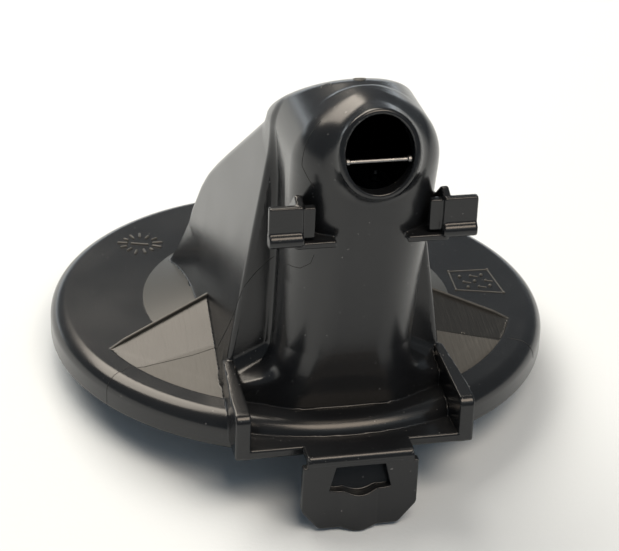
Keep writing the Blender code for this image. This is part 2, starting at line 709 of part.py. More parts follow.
def countersinks(target, centres, face_z, through_z, label):
    """Clearance holes and head seats for screws entered from below."""
    depth = SCREW_HEAD_R - SCREW_R
    top_z = max(through_z, face_z + depth) + OVERSHOOT
    for i, centre in enumerate(centres):
        profile = [(0.0, top_z), (SCREW_R + GAP, top_z), (SCREW_R + GAP, face_z + depth),
                   (SCREW_HEAD_R + GAP, face_z), (SCREW_HEAD_R + GAP, face_z - OVERSHOOT),
                   (0.0, face_z - OVERSHOOT)]
        cut_all(target, [turned(f"{label}_{i}", profile, centre, cutter=True, segments=SCREW_SEGMENTS)])


def make_baffle(grey, rubber, steel):
    """Plate that closes the lid's underside, with its foam gasket and its four screws."""
    plate = turned("baffle_plate", [(0.0, BAFFLE_T), (BAFFLE_R, BAFFLE_T), (BAFFLE_R, 0.0), (0.0, 0.0)])
    plate.data.materials.append(grey)
    cut_all(plate, [cylinder("inlet", INLET_R, -OVERSHOOT, BAFFLE_T + OVERSHOOT, float_centre(),
                             cutter=True, segments=FINE_SEGMENTS)])
    countersinks(plate, BAFFLE_SCREWS, 0.0, BAFFLE_T, "baffle_countersink")
    countersinks(plate, cage_screw_centres(), 0.0, BAFFLE_T, "cage_countersink")
    ring("baffle_gasket", *GASKET, BAFFLE_T + GAP, DECK_UNDER - GAP, rubber)
    screw_set("baffle_screw", BAFFLE_SCREWS, SCREW_RECESS, BAFFLE_SCREW_TIP, steel)
    return plate


def cage_screw_centres():
    angles = [math.radians(a) for a in CAGE_SCREW_DEGREES]
    return [(CAGE_SCREW_R * math.cos(a), FLOAT_AXIS_Y + CAGE_SCREW_R * math.sin(a)) for a in angles]


def make_float_cage(grey, steel):
    """Windowed tube that guides the float, on a flange screwed to the baffle."""
    foot = BAFFLE_T + GAP
    inner_r = CAGE_R - CAGE_T
    flange_top = foot + CAGE_FLANGE_T
    profile = [(inner_r, CAGE_TOP), (CAGE_R, CAGE_TOP), (CAGE_R, flange_top), (CAGE_FLANGE_R, flange_top),
               (CAGE_FLANGE_R, foot), (inner_r, foot)]
    cage = turned("float_cage", profile, float_centre(), segments=FINE_SEGMENTS, closed=True)
    cage.data.materials.append(grey)
    width, low, high = CAGE_WINDOW
    for k in range(CAGE_WINDOWS // 2):
        reach = CAGE_R + OVERSHOOT
        slot = box(f"cage_window_{k}", (-reach, -width / 2, low), (reach, width / 2, high), cutter=True)
        slot.location = Vector((0.0, FLOAT_AXIS_Y, 0.0)) * MM
        slot.rotation_euler = (0.0, 0.0, math.radians(360 / CAGE_WINDOWS * k))
        cut_all(cage, [slot])
    for i, centre in enumerate(cage_screw_centres()):
        cut_all(cage, [cylinder(f"cage_pilot_{i}", SCREW_R + GAP, 0.0, flange_top + OVERSHOOT, centre,
                                cutter=True, segments=SCREW_SEGMENTS)])
    screw_set("cage_screw", cage_screw_centres(), SCREW_RECESS, flange_top + CAGE_SCREW_STANDS, steel)
    return cage


def make_inlet_grille(grey):
    """Slotted disc in the baffle's inlet, which keeps debris out and carries the resting float."""
    radius = INLET_R - GAP
    profile = [(0.0, GRILLE_TOP), (radius, GRILLE_TOP), (radius, GRILLE_SETBACK), (0.0, GRILLE_SETBACK)]
    grille = turned("inlet_grille", profile, float_centre(), segments=FINE_SEGMENTS)
    grille.data.materials.append(grey)
    for k in range(-2, 3):
        low, high = k * GRILLE_PITCH - GRILLE_SLOT / 2, k * GRILLE_PITCH + GRILLE_SLOT / 2
        length = math.sqrt(radius ** 2 - max(-low, high) ** 2) - GRILLE_RIM
        slot = box(f"grille_slot_{k + 2}", (-length, low, -OVERSHOOT), (length, high, OVERSHOOT + BAFFLE_T),
                   cutter=True)
        slot.location = Vector((0.0, FLOAT_AXIS_Y, 0.0)) * MM
        cut_all(grille, [slot])
    return grille


def make_float(white, rubber, steel):
    """Float with the rubber pad that closes the seat and the screw that holds the pad."""
    top = FLOAT_FOOT + FLOAT_H
    bore_foot = top - FLOAT_BORE_DEPTH
    profile = [(0.0, bore_foot), (FLOAT_BORE_R + GAP, bore_foot), (FLOAT_BORE_R + GAP, top),
               (FLOAT_R - FLOAT_TOP_CHAMFER, top), (FLOAT_R, top - FLOAT_TOP_CHAMFER),
               (FLOAT_R, FLOAT_FOOT + FLOAT_FOOT_CHAMFER), (FLOAT_R - FLOAT_FOOT_CHAMFER, FLOAT_FOOT),
               (0.0, FLOAT_FOOT)]
    body = turned("float_body", profile, float_centre(), segments=FINE_SEGMENTS)
    body.data.materials.append(white)
    pad_foot = top + GAP
    ring("float_seal_pad", FLOAT_BORE_R + GAP, PAD_R, pad_foot, pad_foot + PAD_T, rubber, float_centre(),
         FINE_SEGMENTS)
    head_foot = pad_foot + PAD_T + GAP
    tip = top - PAD_SCREW_DEPTH
    screw_profile = [(0.0, head_foot + PAD_SCREW_HEAD[0][1])]
    screw_profile += [(radius, head_foot + rise) for radius, rise in PAD_SCREW_HEAD]
    screw_profile += [(FLOAT_BORE_R, head_foot), (FLOAT_BORE_R, tip), (0.0, tip)]
    pad_screw = turned("float_pad_screw", screw_profile, float_centre(), segments=16)
    pad_screw.data.materials.append(steel)
    return body


def make_valve_seat(grey, rubber, steel):
    """Plate across the duct with the hole that the float shuts, its seal, gasket and screws."""
    back = duct_back(SEAT_FOOT + SEAT_T) - WALL * DUCT_ROOF_INSET - SEAT_BACK_CLEAR
    half = duct_half(SEAT_FOOT + SEAT_T) - WALL - SEAT_CLEAR
    front = DUCT_FRONT + WALL + SEAT_CLEAR
    rings = [level_ring(z, half, front, back, SEAT_CORNER_R, SEAT_CORNER_R, 3)
             for z in (SEAT_FOOT, SEAT_FOOT + SEAT_T)]
    plate = loft("valve_seat_plate", rings)
    plate.data.materials.append(grey)
    cut_all(plate, [cylinder("seat_hole", SEAT_HOLE_R, SEAT_FOOT - OVERSHOOT,
                             SEAT_FOOT + SEAT_T + OVERSHOOT, float_centre(), cutter=True,
                             segments=FINE_SEGMENTS)])
    centres = [(side * SEAT_SCREW_X, y) for side in (-1, 1) for y in SEAT_SCREW_YS]
    countersinks(plate, centres, SEAT_FOOT, SEAT_FOOT + SEAT_T, "seat_countersink")
    screw_set("seat_screw", centres, SEAT_FOOT + SCREW_RECESS,
              SEAT_FOOT + SEAT_T + RAIL_T - SEAT_SCREW_SHORT, steel)
    ring("seat_seal", SEAT_HOLE_R, SEAL_OUT_R, SEAT_FOOT - GAP - SEAL_T, SEAT_FOOT - GAP, rubber,
         float_centre(), FINE_SEGMENTS)
    return plate


# ---------------------------------------------------------------- build

clear_scene()
PARTS = new_collection(PART_NAME)
CUTTERS = new_collection(PART_NAME + "_cutters")

black_plastic = material("black_plastic", (0.018, 0.019, 0.021), 0.32)
grey_plastic = material("grey_plastic", (0.16, 0.17, 0.18), 0.45)
white_plastic = material("white_plastic", (0.75, 0.74, 0.70), 0.5)
black_rubber = material("black_rubber", (0.02, 0.02, 0.02), 0.7)
bright_steel = material("bright_steel", (0.6, 0.6, 0.6), 0.3, metallic=1.0)

make_hood_shell(black_plastic)
make_latch_tab(black_plastic)
make_port_pin(bright_steel)
make_baffle(grey_plastic, black_rubber, bright_steel)
make_inlet_grille(grey_plastic)
make_float_cage(grey_plastic, bright_steel)
make_float(white_plastic, black_rubber, bright_steel)
make_valve_seat(grey_plastic, black_rubber, bright_steel)
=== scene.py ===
"""Looks of the suction lid: its moulded shell and latch as fine meshes, its materials, and the studio.

The shell and the latch are each described as a field, the distance in millimetres from a point to the
surface, negative inside. The field joins simple forms with rounded seams, as a moulding has, and is then
meshed. Axes are the frame's: +X right, -Y towards the hose port, +Z up.
"""
import json
import math

import bmesh
import bpy
import numpy as np
import openvdb
from mathutils import Matrix, Vector


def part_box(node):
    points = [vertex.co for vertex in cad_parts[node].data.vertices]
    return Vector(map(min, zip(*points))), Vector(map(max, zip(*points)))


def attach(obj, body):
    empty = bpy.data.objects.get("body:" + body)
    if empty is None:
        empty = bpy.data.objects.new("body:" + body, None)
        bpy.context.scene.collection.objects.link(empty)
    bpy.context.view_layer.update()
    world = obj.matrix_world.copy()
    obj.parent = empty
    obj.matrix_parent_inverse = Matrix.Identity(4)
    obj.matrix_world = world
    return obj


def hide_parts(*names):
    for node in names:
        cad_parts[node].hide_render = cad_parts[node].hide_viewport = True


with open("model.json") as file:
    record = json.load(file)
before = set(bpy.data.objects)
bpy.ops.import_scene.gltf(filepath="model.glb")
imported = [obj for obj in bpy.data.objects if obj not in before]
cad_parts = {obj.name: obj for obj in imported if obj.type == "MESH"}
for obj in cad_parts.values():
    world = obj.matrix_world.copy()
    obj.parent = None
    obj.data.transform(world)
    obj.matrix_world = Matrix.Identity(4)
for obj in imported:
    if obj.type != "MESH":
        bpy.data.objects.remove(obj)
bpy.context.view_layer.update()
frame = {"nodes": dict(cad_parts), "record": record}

MM = 0.001
SHELL_STEP = 0.6       # mesh sizes
FINE_STEP = 0.25
FAR = 4.0                                     # distances are kept only this close to the surface
SOFT = 0.45                                   # usual rounding of a moulded edge

# Sizes taken from the frame
HOOD_LOW, HOOD_HIGH = (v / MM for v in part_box("hood_shell"))
LATCH_LOW, LATCH_HIGH = (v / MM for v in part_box("latch_tab"))
RIM_R = HOOD_HIGH.x
RIM_H = 9.5
RIM_FILLET = 4.75
SKIRT_T = 2.5
DECK_UNDER = 6.5
WALL = 2.5

# Duct: height, rear face y
DUCT_FRONT = -50.0
DUCT_BACK = ((0.0, 33.8), (9.5, 31.4), (18.0, 29.3), (30.0, 26.4), (40.0, 21.2), (47.0, 16.0), (54.5, 8.6),
             (60.0, 1.8), (96.0, -45.9), (107.0, -60.5))
DUCT_HALF = 32.3
DUCT_TAPER = 0.16
DUCT_FLARE = (5.0, 0.0054)        # starts behind this y, grows with the square of the distance

# Column and dome: height, half width, front y, front corner radius
COLUMN_BACK = -44.0
COLUMN = ((7.6, 21.6, -64.0, 9.0), (14.5, 21.0, -66.6, 10.5), (22.0, 20.4, -69.2, 12.0),
          (30.0, 19.8, -71.8, 14.0), (52.0, 19.2, -78.2, 15.0), (75.0, 19.5, -84.2, 15.5),
          (88.0, 19.7, -86.8, 15.5),
          (107.0, 19.4, -90.0, 15.5))
DOME_TOP = HOOD_HIGH.z - 1.0
DOME_FILLET = 18.0
NARROWING = 0.11                  # of the column towards the duct, below the dome
ROOF_SLOPE = 1.326                # fall of y per unit of height, on the roof

# Plinth, front frame, ramps
PLINTH_R = 65.0
PLINTH_EDGE = (29.4, -51.0, 14.9)
PLINTH_FALL = (0.51, 0.13)
CHEEK = (29.4, 33.7)
FRAME_FRONT = -78.8
FRAME_FOOT = 3.0
CHEEK_TOP = 16.5
SILL_TOP = 5.7
RAMP_PEAK = (30.9, -14.5, 19.8)
RAMP_TOE = (32.4, -50.0, 9.0)
RAMP_CORNER = (60.2, -23.0, 9.5)
POCKET_R = 64.8
CONE_R = 47.0
CONE_SLOPE = 0.21
LIP = (0.8, 0.9)                  # width and height of the rib on the ramp's back edge

# Hose port
PORT = (0.0, -88.0, 97.1)
PORT_TILT = math.radians(11.0)
PORT_BORE = (9.05, 10.4)
COLLAR = (10.75, 11.8)

# Side hooks
WING = (18.6, 27.7)
WING_FRONT = -85.5
WING_Z = (71.5, 82.3)
WING_T = 2.2
LIP_R = 1.9

# Latch
TAB_FRONT = LATCH_LOW.y + 1.2
TAB_T = 2.5
SHELF_HALF = 15.0
PLATE_HALF = LATCH_HIGH.x
GRIP_HALF = 4.6
GUIDE_TOP = (-80.4, 4.2)
GUIDE_LEAN = 0.36                 # how far the guide comes forward per unit of fall
# The guide's lower end, down to GUIDE_FOOT, reaches lower than the guide itself, so that its black face
# stands where the gap under the window holds only shade: painted shade.
GUIDE_FOOT = -6.5

# Relief on the deck, seams
WHEEL = (-42.3, 41.5)
WHEEL_SPOKES = 13
MARK_CORNERS = ((50.7, 8.5), (63.2, 8.0), (64.0, -7.6), (49.8, -3.7))
# Vestiges of the moulding gate: name, place, radius, line radius, share of a full circle
GATES = (
    ("gate_ring", (0.0, -63.0, 107.0), 1.5, 0.35, 1.0),
    ("gate_stub", (0.0, -63.0, 107.0), 0.5, 0.4, 1.0),
    ("ejector_mark", (-9.0, -63.0, 106.0), 1.5, 0.13, 0.6),
    ("ramp_nick", (43.5, -33.1, 11.0), 0.5, 0.28, 0.7),
)
INSERT_Y = -33.6                  # the front of each ramp is a separate mould insert, of duller finish
SEAM_R = 0.11
SEAMS = (
    ((-31.4, -34.8, 13.8), (-38.0, -35.0, 11.9), (-51.8, -33.9, 8.6), (-57.6, -32.6, 7.4)),
    ((-56.3, -34.8, 9.5), (-59.3, -36.9, 9.3), (-62.3, -38.6, 7.0), (-63.7, -39.4, 4.5), (-63.9, -39.6, 0.9)),
    ((31.6, -33.5, 14.2), (38.8, -33.5, 12.1), (48.2, -33.1, 9.7), (56.6, -32.6, 7.6)),
    ((57.0, -35.2, 9.5), (59.8, -37.0, 9.3), (62.4, -38.6, 7.0), (63.7, -39.4, 4.5)),
    ((-31.2, -37.9, 16.2), (-30.0, -43.0, 24.1), (-28.7, -47.5, 32.3), (-27.4, -49.8, 40.0)),
    ((-26.9, -50.0, 41.0), (-23.3, -50.0, 45.8), (-18.6, -50.5, 50.3)),
    ((-18.6, -68.5, 57.4), (-16.8, -74.0, 58.6), (-14.6, -77.0, 61.5), (-14.3, -78.5, 64.5)),
    ((-7.0, -77.0, 104.5), (-13.0, -77.0, 101.5), (-17.2, -78.0, 97.5), (-19.4, -79.0, 91.0),
      (-16.8, -83.0, 85.5)),
)


# ---------------------------------------------------------------- field building

def join(a, b, r=SOFT):
    """Union with a rounded inner seam."""
    return np.maximum(r, np.minimum(a, b)) - np.hypot(np.maximum(r - a, 0), np.maximum(r - b, 0))


def cross(a, b, r=SOFT):
    """Intersection with a rounded outer edge."""
    return np.minimum(-r, np.maximum(a, b)) + np.hypot(np.maximum(r + a, 0), np.maximum(r + b, 0))


def carve(a, b, r=SOFT):
    return cross(a, -b, r)


def block(x, y, z, low, high, r=SOFT):
    """Box with rounded edges."""
    q = [np.abs(c - (lo + hi) / 2) - ((hi - lo) / 2 - r) for c, lo, hi in zip((x, y, z), low, high)]
    outside = np.sqrt(sum(np.maximum(c, 0) ** 2 for c in q))
    return outside + np.minimum(np.maximum(np.maximum(q[0], q[1]), q[2]), 0) - r


def along(z, table, column):
    """One column of a table whose first column is height, between its rows."""
    return np.interp(z, [row[0] for row in table], [row[column] for row in table])


def ramp_height(x, y):
    peak, toe, corner = Vector(RAMP_PEAK), Vector(RAMP_TOE), Vector(RAMP_CORNER)
    n = (toe - peak).cross(corner - peak)
    return peak.z - (n.x * (x - peak.x) + n.y * (y - peak.y)) / n.z


def behind_ramp(x, y):
    """Distance in plan behind the ramp's back edge."""
    run = Vector((RAMP_CORNER[0] - RAMP_PEAK[0], RAMP_CORNER[1] - RAMP_PEAK[1])).normalized()
    return -(x - RAMP_PEAK[0]) * run.y + (y - RAMP_PEAK[1]) * run.x


def duct_faces(x, y, z):
    """Distances to the duct's side and rear faces. x is the distance from the middle plane."""
    flare = DUCT_FLARE[1] * np.maximum(y - DUCT_FLARE[0], 0) ** 2 * np.clip((25.0 - z) / 15.0, 0, 1)
    side = (x - DUCT_HALF + DUCT_TAPER * (z - RIM_H) - flare) / math.hypot(1, DUCT_TAPER)
    slope = along(z, [(a[0], (b[1] - a[1]) / (b[0] - a[0])) for a, b in zip(DUCT_BACK, DUCT_BACK[1:])], 1)
    back = (y - along(z, DUCT_BACK, 1)) / np.sqrt(1 + slope ** 2)
    return side, back


def column_plan(x, y, z, inset=0.0):
    """Distance to the column's upright walls: a rounded rectangle that narrows a little towards the duct."""
    half, front, corner = (along(z, COLUMN, i) for i in (1, 2, 3))
    corner = np.maximum(corner - inset, 2.0)
    middle, reach = (front + COLUMN_BACK + corner) / 2, (COLUMN_BACK + corner - front) / 2
    narrow = NARROWING * np.clip((90.0 - z) / 14.0, 0, 1) * np.maximum(y + 66.0, 0)
    qx = x + narrow - (half - inset - corner)
    qy = np.abs(y - middle) - (reach - inset - corner)
    return (np.hypot(np.maximum(qx, 0), np.maximum(qy, 0))
            + np.minimum(np.maximum(qx, qy), 0) - corner) * 0.97


def roof(y, z):
    return (y + 60.5 + ROOF_SLOPE * (z - 107.0)) / math.hypot(1, ROOF_SLOPE)


def port_frame(x, y, z):
    """Coordinates along the port's axis, positive outward, and up across it."""
    dy, dz = y - PORT[1], z - PORT[2]
    return (-dy * math.cos(PORT_TILT) + dz * math.sin(PORT_TILT),
            dy * math.sin(PORT_TILT) + dz * math.cos(PORT_TILT))


def port_tube(x, y, z, radii, start, end, flare=0.0):
    out, up = port_frame(x, y, z)
    swell = 1.0 + flare * np.clip(-out / 16.0, 0, 1)
    ellipse = (np.hypot(x / (radii[0] * swell), up / (radii[1] * swell)) - 1.0) * min(radii)
    return cross(ellipse, np.maximum(out - end, start - out), 0.8 if flare else 0.0)


def towers(x, y, z):
    """Duct, column, dome and plinth as one solid."""
    side, back = duct_faces(x, y, z)
    duct = cross(cross(cross(side, back, 5.0), roof(y, z), 5.5), DUCT_FRONT - y, 1.6)
    column = cross(cross(column_plan(x, y, z), z - DOME_TOP, DOME_FILLET), roof(y, z), 2.5)
    edge_x, edge_y, edge_z = PLINTH_EDGE
    top = (z - edge_z - PLINTH_FALL[0] * (edge_x - x) - PLINTH_FALL[1] * (y - edge_y)) / 1.13
    plinth = cross(cross(np.hypot(x, y) - PLINTH_R, top, 1.6), x - CHEEK[0] - 1.0, 0.2)
    plinth = np.maximum(plinth, y + 47.0)
    seam = 2.2 + 0.8 * np.clip((z - 70.0) / 12.0, 0, 1)
    return join(join(duct, column, seam), plinth, 3.5)


def hollow(x, y, z):
    """The air's way from under the deck, up the duct and the column, to the port."""
    side, back = duct_faces(x, y, z)
    duct = cross(cross(cross(side + WALL, back + WALL, 3.0), roof(y, z) + WALL, 2.0),
                 DUCT_FRONT + WALL - y, 1.0)
    column = cross(cross(column_plan(x, y, z, WALL), z - DOME_TOP + WALL, DOME_FILLET - WALL),
                   roof(y, z) + WALL, 5.0)
    return join(duct, column, 1.0)


def deck(x, y, z):
    """The disc with its cone, ramps and pockets, and the space under it."""
    r = np.hypot(x, y)
    behind = behind_ramp(x, y)
    over_ramp = (z - ramp_height(x, y)) * 0.93
    disc = cross(r - RIM_R, z - RIM_H, RIM_FILLET)
    pocket = np.maximum(np.maximum(-over_ramp, r - POCKET_R), np.maximum(behind, 32.0 - x))
    disc = carve(disc, np.maximum(pocket, -56.0 - y), 0.35)
    ramp = cross(cross(over_ramp, behind, 0.3), np.maximum(r - POCKET_R, -z + RIM_H - 2.0), 0.3)
    cone = np.maximum(z - RIM_H - CONE_SLOPE * (CONE_R - r), -behind)
    solid = np.minimum(join(disc, ramp, 0.3), np.maximum(cone, 7.0 - z))
    ceiling = np.minimum(ramp_height(x, y), RIM_H) - 2.8
    ceiling = np.where((behind < 0) & (x > 29.0) & (r < 67.0), ceiling, DECK_UNDER)
    return solid, cross(r - RIM_R + SKIRT_T, (z - ceiling) * 0.9, 2.0)


def rib_field(x, y, z):
    """Thin rib along the back edge of both ramps, running out at its outer end."""
    ax = np.abs(x)
    behind = behind_ramp(ax, y)
    reach = np.hypot(ax - RAMP_PEAK[0], y - RAMP_PEAK[1])
    length = math.hypot(RAMP_CORNER[0] - RAMP_PEAK[0], RAMP_CORNER[1] - RAMP_PEAK[1])
    over = (z - ramp_height(ax, y)) * 0.93 - LIP[1] * np.clip((length + 2.0 - reach) / 6.0, 0, 1)
    rib = cross(np.abs(behind + LIP[0] / 2 - 0.15) - LIP[0] / 2, over, 0.28)
    return cross(rib, np.maximum(np.maximum(8.8 - z, reach - length - 1.0), RAMP_PEAK[0] - 0.6 - ax), 0.2)


def front_frame(x, y, z):
    outer = CHEEK[1] - 0.075 * np.maximum(y + 70.0, 0)
    rise = CHEEK_TOP + 1.4 * np.clip((y - FRAME_FRONT) / 28.0, 0, 1)
    walls = cross(x - outer, CHEEK[0] - x, SOFT)
    tops = cross(z - rise, FRAME_FRONT - y, 2.6)
    cheek = cross(cross(walls, tops, SOFT), np.maximum(y + 49.0, FRAME_FOOT - z), SOFT)
    sill = block(x, y, z, (-CHEEK[0] - 2, FRAME_FRONT, FRAME_FOOT), (CHEEK[0] + 2, -66.0, SILL_TOP), SOFT)
    trim = np.maximum(np.hypot(x, y) - RIM_R + SKIRT_T / 2, z - RIM_H + 1.5)
    return np.maximum(join(cheek, sill, 0.3), -trim)


def hooks(x, y, z):
    """Wing plate, its curled lip, the plate set back beside it, the web to the dome and the floor."""
    wing = block(x, y, z, (WING[0], WING_FRONT, WING_Z[0]), (WING[1], WING_FRONT + WING_T, WING_Z[1]), 0.4)
    curl = np.hypot(y - WING_FRONT - 0.4, z - WING_Z[0] - LIP_R * 0.8) - LIP_R
    curl = cross(curl, np.abs(x - (WING[0] + WING[1]) / 2) - (WING[1] - WING[0]) / 2, 0.4)
    back_plate = block(x, y, z, (15.2, WING_FRONT + 1.3, 72.5),
                       (WING[0] + 0.6, WING_FRONT + 3.4, WING_Z[1] - 0.8), 0.3)
    web = block(x, y, z, (WING[0] - 0.2, WING_FRONT + 1.0, 70.3),
                (WING[0] + 1.9, -64.0, WING_Z[1] + 1.6), 0.4)
    slope = (z - WING_Z[1] - 0.55 * (y - WING_FRONT - 1.0)) / 1.14
    web = cross(cross(web, slope, 0.4), (z - WING_Z[1] - 1.4 + 0.9 * (y - WING_FRONT - 5.0)) / 1.35, 0.6)
    floor = block(x, y, z, (9.5, WING_FRONT + 0.2, 70.1), (WING[0] + 1.9, -70.0, 71.9), 0.4)
    return join(join(join(wing, curl, 0.3), join(back_plate, web, 0.3), 0.3), floor, 0.3)


def shell_field(x, y, z):
    """The whole moulding apart from the latch."""
    ax = np.abs(x)
    solid, under = deck(ax, y, z)
    body = np.maximum(join(solid, np.maximum(towers(ax, y, z), 7.0 - z), 0.3), -under)
    body = join(body, front_frame(ax, y, z), 0.3)
    body = join(body, port_tube(x, y, z, COLLAR, -16.0, 0.0, flare=0.2), 2.4)
    body = join(body, hooks(ax, y, z), 0.5)
    body = np.maximum(body, -hollow(ax, y, z))
    body = carve(body, port_tube(x, y, z, PORT_BORE, -20.0, 6.0), 0.5)
    return cross(body, -z, 0.4)


def latch_field(x, y, z):
    """Shelf, finger plate with its grip and window, and the guide behind the window."""
    ax = np.abs(x)
    shelf_back = -np.sqrt(np.maximum((RIM_R + 4.1) ** 2 - x ** 2, 0)) + 0.05
    shelf = cross(cross(cross(ax - SHELF_HALF, z - 6.5, SOFT), TAB_FRONT - y, 1.5),
                  np.maximum(y - shelf_back, 4.0 - z), 0.3)
    plate = cross(np.abs(y - TAB_FRONT - TAB_T / 2) - TAB_T / 2, ax - PLATE_HALF, SOFT)
    plate = cross(plate, (ax * 0.77 - z * 0.64 - PLATE_HALF * 0.77 - 11.0 * 0.64), 0.8)
    bulge = 1.2 * np.cos(np.clip(x / GRIP_HALF, -1, 1) * math.pi / 2)
    plate = cross(plate, -17.1 - 0.75 * bulge - z, 0.8)
    plate = cross(plate, z - np.where(ax > SHELF_HALF, 3.4, 5.0), 0.4)
    grip = cross(TAB_FRONT - bulge - y, np.maximum(y - TAB_FRONT - TAB_T + 0.2, ax - GRIP_HALF), 0.2)
    grip = cross(grip, np.maximum(z + 4.6, -17.1 - 0.75 * bulge - z), 0.6)
    body = join(join(shelf, plate, 0.6), grip, 0.8)
    foot = -4.5 - 0.4 * np.clip((8.7 - ax) / 2.0, 0, 1) - bulge
    window = np.maximum(ax - 6.9 - (2.8 - z) * 0.237, np.maximum(z - 2.8, foot - z))
    window = np.maximum(window, np.abs(y - TAB_FRONT) - 3.6)
    body = carve(body, window, 0.35)
    # Guide down to GUIDE_FOOT: its lower part is painted shade, black plastic filling the shaded gap under
    # the window.
    front = GUIDE_TOP[0] - y - GUIDE_LEAN * (GUIDE_TOP[1] - z)
    guide = cross(np.abs(front + 0.7) - 0.7, np.maximum(np.maximum(z - 4.8, GUIDE_FOOT - z), ax - 9.7), 0.3)
    # Nothing stands behind the moulding's own back face or hangs under its tip.
    return np.maximum(join(body, guide, 0.3), np.maximum(y - LATCH_HIGH.y, LATCH_LOW.z + 0.05 - z))


def dotted(x, y, z, centre, radius):
    return np.sqrt((x - centre[0]) ** 2 + (y - centre[1]) ** 2 + (z - centre[2]) ** 2) - radius


def bar(x, y, z, a, b, radius):
    """Round bar between two points."""
    a, b = np.array(a, float), np.array(b, float)
    along_bar = ((x - a[0]) * (b - a)[0] + (y - a[1]) * (b - a)[1]
                 + (z - a[2]) * (b - a)[2]) / ((b - a) @ (b - a))
    t = np.clip(along_bar, 0, 1)
    return np.sqrt(sum((c - p - t * d) ** 2 for c, p, d in zip((x, y, z), a, b - a))) - radius


def wheel_field(x, y, z):
    """Raised mould wheel: a ring of short spokes round a pointer."""
    cx, cy = WHEEL
    body = bar(x, y, z, (cx - 2.6, cy + 0.6, RIM_H), (cx + 2.4, cy - 1.0, RIM_H), 0.42)
    for k in range(WHEEL_SPOKES):
        turn = 2 * math.pi * k / WHEEL_SPOKES
        inner, outer = 4.3 + 0.5 * (k % 2), 6.9 - 0.5 * (k % 3)
        ends = [(cx + d * math.cos(turn), cy + d * math.sin(turn), RIM_H) for d in (inner, outer)]
        body = join(body, bar(x, y, z, *ends, 0.45), 0.2)
    return body


def mark_field(x, y, z):
    """Raised frame with a plain pattern of dots and dashes in it."""
    corners = [(a, b, RIM_H) for a, b in MARK_CORNERS]
    body = FAR
    for a, b in zip(corners, corners[1:] + corners[:1]):
        body = np.minimum(body, bar(x, y, z, a, b, 0.24))
        body = np.minimum(body, dotted(x, y, z, a, 0.5))
    for row in range(3):
        for k in range(3):
            cx, cy = MARK_CORNERS[0][0] + 2.5 + 3.5 * k + 0.4 * row, MARK_CORNERS[0][1] - 3.9 - 3.6 * row
            body = np.minimum(body, dotted(x, y, z, (cx, cy, RIM_H), 0.62 - 0.12 * ((row + k) % 2)))
            if (row + k) % 2:
                body = np.minimum(body, bar(x, y, z, (cx, cy, RIM_H), (cx + 2.0, cy - 0.9, RIM_H), 0.26))
    return body


# ---------------------------------------------------------------- meshing

def settle(field, points, reach):
    """Move points onto the surface by a few steps along the field's slope. Also gives its normals."""
    nudge = 0.05
    for _ in range(3):
        value = field(*points.T)
        slope = np.stack([field(*(points + nudge * axis).T) - field(*(points - nudge * axis).T)
                          for axis in np.eye(3)],
                         axis=1) / (2 * nudge)
        size = np.maximum((slope ** 2).sum(1), 0.05)
        move = -slope * (value / size)[:, None]
        length = np.maximum(np.linalg.norm(move, axis=1), 1e-9)
        points = points + move * np.minimum(1, reach / length)[:, None]
    return points, slope / np.sqrt(size)[:, None]


def mesh_from_field(name, field, low, high, step):
    """Closed mesh on the field's surface, shaded with the field's own normals."""
    axes = [(np.arange(math.floor(a / step) - 2, math.ceil(b / step) + 2) + 0.5) * step
            for a, b in zip(low, high)]
    mirrored = abs(low[0] + high[0]) < step
    xs = axes[0][axes[0] > 0] if mirrored else axes[0]
    axes[0] = np.concatenate([-xs[::-1], xs]) if mirrored else xs
    slabs = [np.broadcast_to(np.clip(field(xs[:, None, None], axes[1][None, :, None], part[None, None, :]),
                                     -FAR, FAR),
                             (len(xs), len(axes[1]), len(part))).astype(np.float32)
             for part in np.array_split(axes[2], 16)]
    values = np.concatenate(slabs, axis=2)
    if mirrored:
        values = np.concatenate([values[::-1], values], axis=0)
    grid = openvdb.FloatGrid(FAR)
    grid.copyFromArray(np.ascontiguousarray(values))
    points, quads = grid.convertToQuads(isovalue=0.0)
    origin = np.array([axis[0] for axis in axes])
    points, normals = settle(field, points.astype(np.float64) * step + origin, step * 0.5)
    mesh = bpy.data.meshes.new(name)
    mesh.from_pydata((points * MM).tolist(), [], quads.tolist())
    mesh.update()
    facing = np.zeros(len(mesh.polygons) * 3)
    mesh.polygons.foreach_get("normal", facing)
    firsts = np.array([polygon.vertices[0] for polygon in mesh.polygons])
    if (facing.reshape(-1, 3) * normals[firsts]).sum() < 0:
        mesh.flip_normals()
    mesh.shade_smooth()
    mesh.normals_split_custom_set_from_vertices(normals.tolist())
    obj = bpy.data.objects.new(name, mesh)
    bpy.context.scene.collection.objects.link(obj)
    return obj


def seam_line(name, path, radius=SEAM_R):
    """Fine line laid on the shell's surface."""
    path = [np.array(p) for p in path]
    points = [a + (b - a) * t for a, b in zip(path, path[1:])
              for t in np.linspace(0, 1, 12, endpoint=False)] + [path[-1]]
    points, normals = settle(shell_field, np.array(points), 2.0)
    points -= normals * radius * 0.3
    curve = bpy.data.curves.new(name, "CURVE")
    curve.dimensions = "3D"
    curve.bevel_depth = radius * MM
    curve.bevel_resolution = 1
    curve.use_fill_caps = True
    line = curve.splines.new("POLY")
    line.points.add(len(points) - 1)
    for point, place in zip(line.points, points):
        point.co = (*(place * MM), 1.0)
    obj = bpy.data.objects.new(name, curve)
    bpy.context.scene.collection.objects.link(obj)
    return obj


# ---------------------------------------------------------------- materials

def new_material(name, colour, roughness, metallic=0.0):
    mat = bpy.data.materials.new(name)
    mat.use_nodes = True
    shader = mat.node_tree.nodes["Principled BSDF"]
    shader.inputs["Base Color"].default_value = (*colour, 1.0)
    shader.inputs["Roughness"].default_value = roughness
    shader.inputs["Metallic"].default_value = metallic
    return mat, mat.node_tree.nodes, mat.node_tree.links, shader


